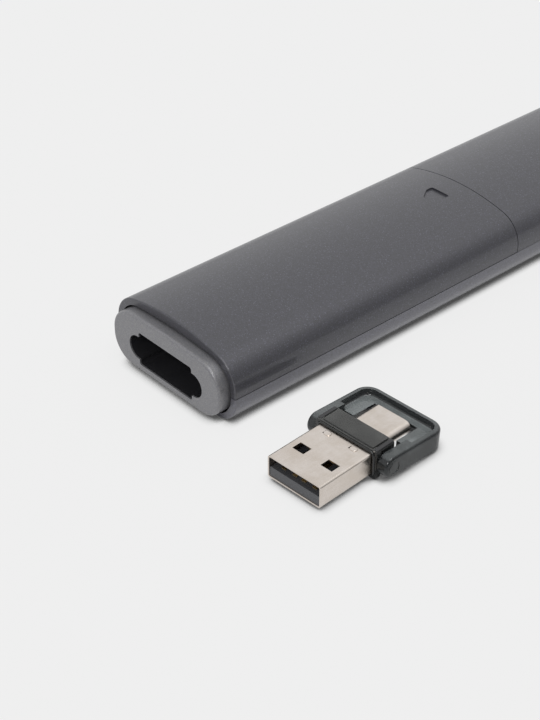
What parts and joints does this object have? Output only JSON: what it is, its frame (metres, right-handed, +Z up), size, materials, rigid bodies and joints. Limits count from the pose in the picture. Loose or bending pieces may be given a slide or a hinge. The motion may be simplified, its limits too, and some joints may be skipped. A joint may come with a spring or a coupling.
{
  "type": "presentation clicker",
  "caption": "Flat stick presentation clicker with a sliding battery cover, keys underneath and a tail socket for its loose two-ended USB receiver with a swivel frame.",
  "frame": {"origin": "middle of the flat key face that the handset lies on", "axes": "+X across the handset towards the receiver, +Y along the handset from tail to nose, +Z up"},
  "size_m": [0.0608, 0.1396, 0.0146],
  "materials": {
    "graphite_paint": "satin metallic paint",
    "black_gloss": "gloss",
    "tray_plastic": "matte",
    "cell_jacket": "printed sleeve without marks",
    "contact_steel": "nickel plated",
    "screw_steel": "zinc plated",
    "board_laminate": "solder mask",
    "case_black": "matte",
    "key_plastic": "fine texture",
    "lamp_clear": "clear",
    "crystal_can": "plain",
    "laser_brass": "turned",
    "lens_glass": "clear",
    "window_smoke": "dark clear",
    "plug_steel": "warm nickel",
    "contact_gold": "gold plated",
    "smoke_plastic": "smoky clear"
  },
  "bodies": {
    "handset": {"key_shell": "graphite_paint", "back_shell": "graphite_paint", "tail_cap": "graphite_paint", "receiver_sleeve": "black_gloss", "battery_tray": "tray_plastic", "battery_cell": "cell_jacket", "battery_spring": "contact_steel", "tail_contact": "contact_steel", "front_contact": "contact_steel", "tray_screws": "screw_steel", "board_screws": "screw_steel", "main_board": "board_laminate", "tactile_switches": "case_black", "power_switch": "case_black", "status_lamp": "lamp_clear", "light_pipe": "lamp_clear", "radio_chip": "case_black", "crystal": "crystal_can", "laser_module": "laser_brass", "laser_lens": "lens_glass", "laser_window": "window_smoke"},
    "cover": {"battery_cover": "graphite_paint"},
    "forward_button": {"forward_key": "key_plastic"},
    "back_button": {"back_key": "key_plastic"},
    "laser_button": {"laser_key": "key_plastic"},
    "power_knob": {"power_slider": "key_plastic"},
    "receiver": {"usb_a_shell": "plug_steel", "usb_a_tongue": "case_black", "usb_a_contacts": "contact_gold", "receiver_block": "smoke_plastic", "pivot_plugs": "black_gloss", "usb_c_shell": "plug_steel", "usb_c_tongue": "case_black", "receiver_board": "board_laminate", "receiver_chip": "case_black"},
    "guard": {"swivel_frame": "smoke_plastic"}
  },
  "joints": [
    {"name": "cover_slide", "type": "slide", "parent": "handset", "child": "cover", "axis": [0, -1, 0], "range_m": [0, 0.075]},
    {"name": "forward_press", "type": "slide", "parent": "handset", "child": "forward_button", "axis": [0, 0, 1], "range_m": [0, 0.0004], "stiffness_N_per_m": 3000},
    {"name": "back_press", "type": "slide", "parent": "handset", "child": "back_button", "axis": [0, 0, 1], "range_m": [0, 0.0004], "stiffness_N_per_m": 3000},
    {"name": "laser_press", "type": "slide", "parent": "handset", "child": "laser_button", "axis": [0, 0, 1], "range_m": [0, 0.0004], "stiffness_N_per_m": 3000},
    {"name": "power_slide", "type": "slide", "parent": "handset", "child": "power_knob", "axis": [0, 1, 0], "range_m": [0, 0.0025]},
    {"name": "receiver_lift", "type": "slide", "parent": "handset", "child": "receiver", "axis": [0, 0, 1], "range_m": [0, 0.03]},
    {"name": "guard_swing", "type": "hinge", "parent": "receiver", "child": "guard", "pos_m": [0.03532, -0.05765, 0.0029], "axis": [0.9985, 0.055, 0], "range_deg": [-141, 148]}
  ]
}
